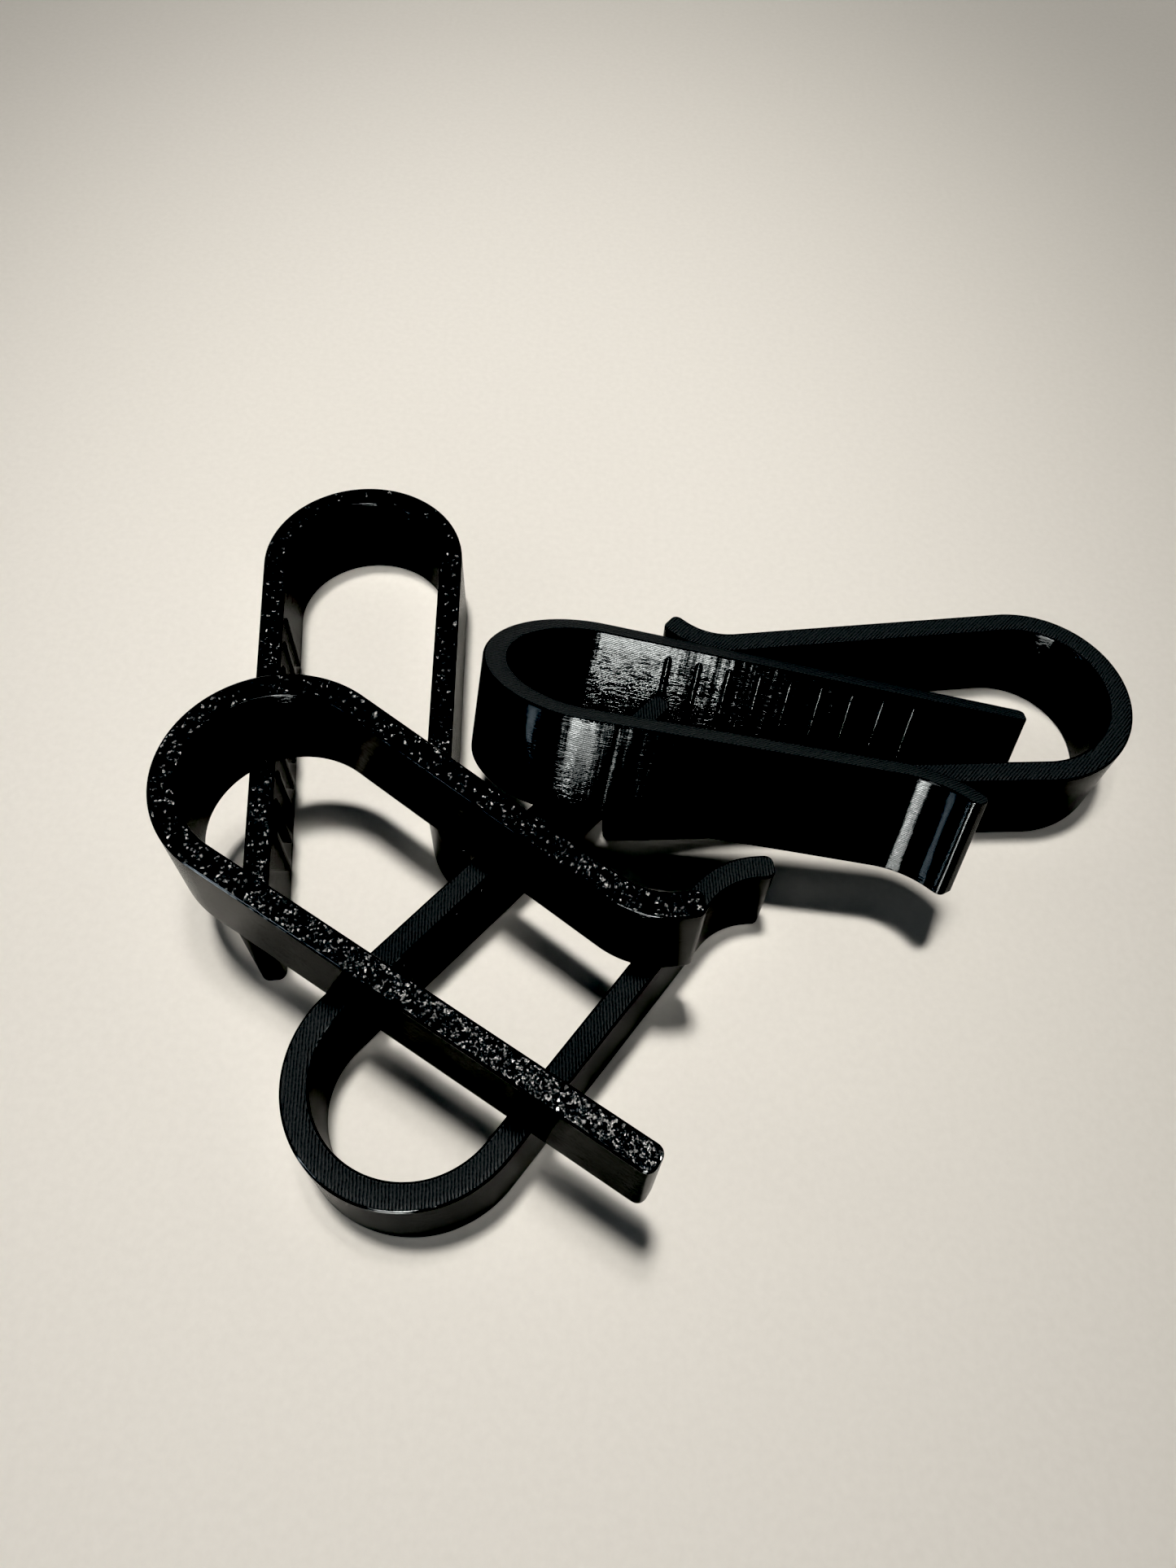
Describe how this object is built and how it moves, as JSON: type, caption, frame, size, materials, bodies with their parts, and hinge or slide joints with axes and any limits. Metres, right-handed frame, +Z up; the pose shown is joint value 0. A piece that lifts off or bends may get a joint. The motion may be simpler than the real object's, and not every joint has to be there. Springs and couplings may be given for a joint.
{
  "type": "spring clip heap",
  "caption": "Heap of five black one-piece U-shaped spring clips, each with a straight back leg, a round bow and a sprung arm with an outward lip.",
  "frame": {"origin": "middle of the heap's footprint, on the surface it lies on", "axes": "+Z up, +X to the right and +Y away from the viewer as the heap is seen from its front"},
  "size_m": [0.1302, 0.1094, 0.0295],
  "materials": {
    "black_plastic": "satin black printed plastic with fine layer lines"
  },
  "bodies": {
    "clip_1": {"clip_1_back_leg": "black_plastic", "clip_1_bow": "black_plastic"},
    "clip_1_arm": {"clip_1_spring_arm": "black_plastic"},
    "clip_2": {"clip_2_back_leg": "black_plastic", "clip_2_bow": "black_plastic"},
    "clip_2_arm": {"clip_2_spring_arm": "black_plastic"},
    "clip_3": {"clip_3_back_leg": "black_plastic", "clip_3_bow": "black_plastic"},
    "clip_3_arm": {"clip_3_spring_arm": "black_plastic"},
    "clip_4": {"clip_4_back_leg": "black_plastic", "clip_4_bow": "black_plastic"},
    "clip_4_arm": {"clip_4_spring_arm": "black_plastic"},
    "clip_5": {"clip_5_back_leg": "black_plastic", "clip_5_bow": "black_plastic"},
    "clip_5_arm": {"clip_5_spring_arm": "black_plastic"}
  },
  "joints": [
    {"name": "clip_1_spring", "type": "hinge", "parent": "clip_1", "child": "clip_1_arm", "pos_m": [-0.05072, 0.04806, 0.0072], "axis": [0, 0, 1], "range_deg": [0, 2.5], "stiffness_Nm_per_rad": 2.3, "deforming": ["clip_1_bow"]},
    {"name": "clip_2_spring", "type": "hinge", "parent": "clip_2", "child": "clip_2_arm", "pos_m": [-0.05745, -0.00441, 0.0217], "axis": [0, 0, 1], "range_deg": [0, 8], "stiffness_Nm_per_rad": 2.3, "deforming": ["clip_2_bow"]},
    {"name": "clip_3_spring", "type": "hinge", "parent": "clip_3", "child": "clip_3_arm", "pos_m": [-0.03617, -0.04633, 0.0072], "axis": [0, 0, -1], "range_deg": [0, 8], "stiffness_Nm_per_rad": 2.3, "deforming": ["clip_3_bow"]},
    {"name": "clip_4_spring", "type": "hinge", "parent": "clip_4", "child": "clip_4_arm", "pos_m": [0.05852, 0.02358, 0.0072], "axis": [0, 0, -1], "range_deg": [0, 8], "stiffness_Nm_per_rad": 2.3, "deforming": ["clip_4_bow"]},
    {"name": "clip_5_spring", "type": "hinge", "parent": "clip_5", "child": "clip_5_arm", "pos_m": [-0.02223, 0.01334, 0.01683], "axis": [-0.1047, -0.4363, -0.8937], "range_deg": [0, 8], "stiffness_Nm_per_rad": 2.3, "deforming": ["clip_5_bow"]},
    {"name": "clip_1_pull_out", "type": "slide", "parent": "clip_3", "child": "clip_1", "axis": [-1, 0, 0], "range_m": [0, 0.08]},
    {"name": "clip_2_lift_off", "type": "slide", "parent": "clip_3", "child": "clip_2", "axis": [0, 0, 1], "range_m": [0, 0.06]},
    {"name": "clip_4_pull_out", "type": "slide", "parent": "clip_3", "child": "clip_4", "axis": [0.9945, 0.1045, 0], "range_m": [0, 0.09]},
    {"name": "clip_5_lift_off", "type": "slide", "parent": "clip_3", "child": "clip_5", "axis": [0, 0, 1], "range_m": [0, 0.06]}
  ]
}
